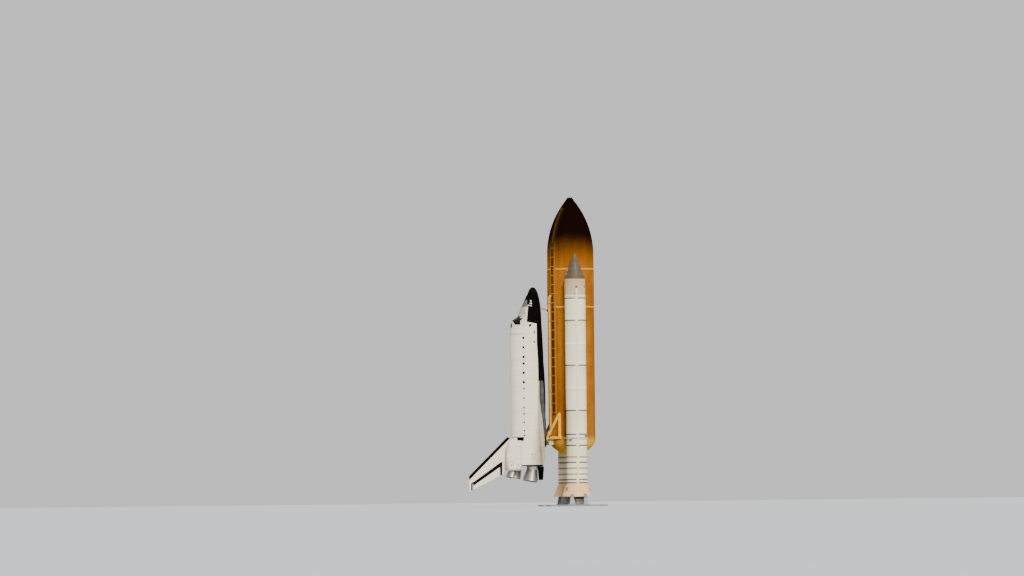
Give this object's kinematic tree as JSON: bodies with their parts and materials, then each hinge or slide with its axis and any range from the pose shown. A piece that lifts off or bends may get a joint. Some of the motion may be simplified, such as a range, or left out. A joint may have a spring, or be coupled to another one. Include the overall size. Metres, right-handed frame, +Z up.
{
  "type": "space shuttle (1:2 scale model)",
  "caption": "Vertical launch stack: winged orbiter on a large drop tank with a solid booster each side, standing on posts and frames; bay doors, control surfaces and nozzles move.",
  "frame": {"origin": "floor level under the middle of the footprint box of the whole stack", "axes": "+Z up along the tank and the boosters, -Y the way the orbiter's back and fin look, +X to the orbiter's starboard side"},
  "size_m": [11.895, 12.0284, 28.194],
  "materials": {
    "foam": "sprayed foam",
    "booster": "satin paint",
    "blanket": "quilted blanket",
    "tile": "ceramic tile",
    "carbon": "carbon composite",
    "bell": "heat-stained metal",
    "steel": "worn paint"
  },
  "bodies": {
    "stack": {"tank_oxygen": "foam", "tank_intertank": "foam", "tank_hydrogen": "foam", "tank_cable_tray": "foam", "tank_feed_line": "foam", "tank_bipod": "foam", "tank_aft_mount_right": "foam", "tank_aft_mount_left": "foam", "tank_crossbeam": "foam", "booster_right_nose": "booster", "booster_right_forward_skirt": "booster", "booster_right_segment_forward": "booster", "booster_right_segment_fore_centre": "booster", "booster_right_segment_aft_centre": "booster", "booster_right_segment_aft": "booster", "booster_right_tunnel": "booster", "booster_right_aft_skirt": "booster", "booster_right_attach_ring": "steel", "booster_right_stand": "steel", "booster_left_nose": "booster", "booster_left_forward_skirt": "booster", "booster_left_segment_forward": "booster", "booster_left_segment_fore_centre": "booster", "booster_left_segment_aft_centre": "booster", "booster_left_segment_aft": "booster", "booster_left_tunnel": "booster", "booster_left_aft_skirt": "booster", "booster_left_attach_ring": "steel", "booster_left_stand": "steel", "forward_fuselage": "blanket", "mid_fuselage": "blanket", "aft_fuselage": "blanket", "wing_right": "blanket", "wing_left": "blanket", "pod_right": "blanket", "pod_left": "blanket", "fin": "blanket", "nose_cap": "carbon", "pod_engine_right": "bell", "pod_engine_left": "bell"},
    "bay_door_right": {"bay_door_right": "blanket"},
    "bay_door_left": {"bay_door_left": "blanket"},
    "elevon_right_inner": {"elevon_right_inner": "blanket"},
    "elevon_right_outer": {"elevon_right_outer": "blanket"},
    "elevon_left_inner": {"elevon_left_inner": "blanket"},
    "elevon_left_outer": {"elevon_left_outer": "blanket"},
    "body_flap": {"body_flap": "tile"},
    "rudder_right": {"rudder_right": "blanket"},
    "rudder_left": {"rudder_left": "blanket"},
    "main_engine_upper": {"main_engine_upper": "bell"},
    "main_engine_right": {"main_engine_right": "bell"},
    "main_engine_left": {"main_engine_left": "bell"},
    "booster_right_nozzle": {"booster_right_nozzle": "bell"},
    "booster_left_nozzle": {"booster_left_nozzle": "bell"}
  },
  "joints": [
    {"name": "bay_door_right_open", "type": "hinge", "parent": "stack", "child": "bay_door_right", "pos_m": [1.302, -1.08675, 10.922], "axis": [0, 0, 1], "range_deg": [0, 175.5]},
    {"name": "bay_door_left_open", "type": "hinge", "parent": "stack", "child": "bay_door_left", "pos_m": [-1.302, -1.08675, 10.922], "axis": [0, 0, -1], "range_deg": [0, 175.5]},
    {"name": "elevon_right_inner_turn", "type": "hinge", "parent": "stack", "child": "elevon_right_inner", "pos_m": [2.7225, 0.46471, 5.2645], "axis": [0.9981, -0.0611, 0], "range_deg": [-35, 20]},
    {"name": "elevon_right_outer_turn", "type": "hinge", "parent": "stack", "child": "elevon_right_outer", "pos_m": [4.92, 0.33022, 5.2645], "axis": [0.9981, -0.0611, 0], "range_deg": [-35, 20]},
    {"name": "elevon_left_inner_turn", "type": "hinge", "parent": "stack", "child": "elevon_left_inner", "pos_m": [-2.7225, 0.46471, 5.2645], "axis": [0.9981, 0.0611, 0], "range_deg": [-35, 20]},
    {"name": "elevon_left_outer_turn", "type": "hinge", "parent": "stack", "child": "elevon_left_outer", "pos_m": [-4.92, 0.33022, 5.2645], "axis": [0.9981, 0.0611, 0], "range_deg": [-35, 20]},
    {"name": "body_flap_turn", "type": "hinge", "parent": "stack", "child": "body_flap", "pos_m": [0, 0.52075, 3.502], "axis": [1, 0, 0], "range_deg": [-11.7, 22.5]},
    {"name": "rudder_right_open", "type": "hinge", "parent": "stack", "child": "rudder_right", "pos_m": [0, -4.4405, 2.991], "axis": [0, -0.8243, -0.5661], "range_deg": [0, 49.3]},
    {"name": "rudder_left_open", "type": "hinge", "parent": "stack", "child": "rudder_left", "pos_m": [0, -4.4405, 2.991], "axis": [0, 0.8243, 0.5661], "range_deg": [0, 49.3]},
    {"name": "main_engine_upper_yaw", "type": "hinge", "parent": "stack", "child": "main_engine_upper", "pos_m": [0, -1.40525, 4.5275], "axis": [0, -0.9613, 0.2756], "range_deg": [-8.5, 8.5]},
    {"name": "main_engine_right_yaw", "type": "hinge", "parent": "stack", "child": "main_engine_right", "pos_m": [0.673, -0.13075, 4.232], "axis": [0, -0.9848, 0.1736], "range_deg": [-8.5, 8.5]},
    {"name": "main_engine_left_yaw", "type": "hinge", "parent": "stack", "child": "main_engine_left", "pos_m": [-0.673, -0.13075, 4.232], "axis": [0, -0.9848, 0.1736], "range_deg": [-8.5, 8.5]},
    {"name": "booster_right_nozzle_swing", "type": "hinge", "parent": "stack", "child": "booster_right_nozzle", "pos_m": [3.1815, 3.41425, 1.625], "axis": [1, 0, 0], "range_deg": [-8, 8]},
    {"name": "booster_left_nozzle_swing", "type": "hinge", "parent": "stack", "child": "booster_left_nozzle", "pos_m": [-3.1815, 3.41425, 1.625], "axis": [1, 0, 0], "range_deg": [-8, 8]}
  ],
  "couplings": [
    {"joint": "main_engine_right_yaw", "follows": "main_engine_upper_yaw", "ratio": 1},
    {"joint": "main_engine_left_yaw", "follows": "main_engine_upper_yaw", "ratio": 1}
  ]
}
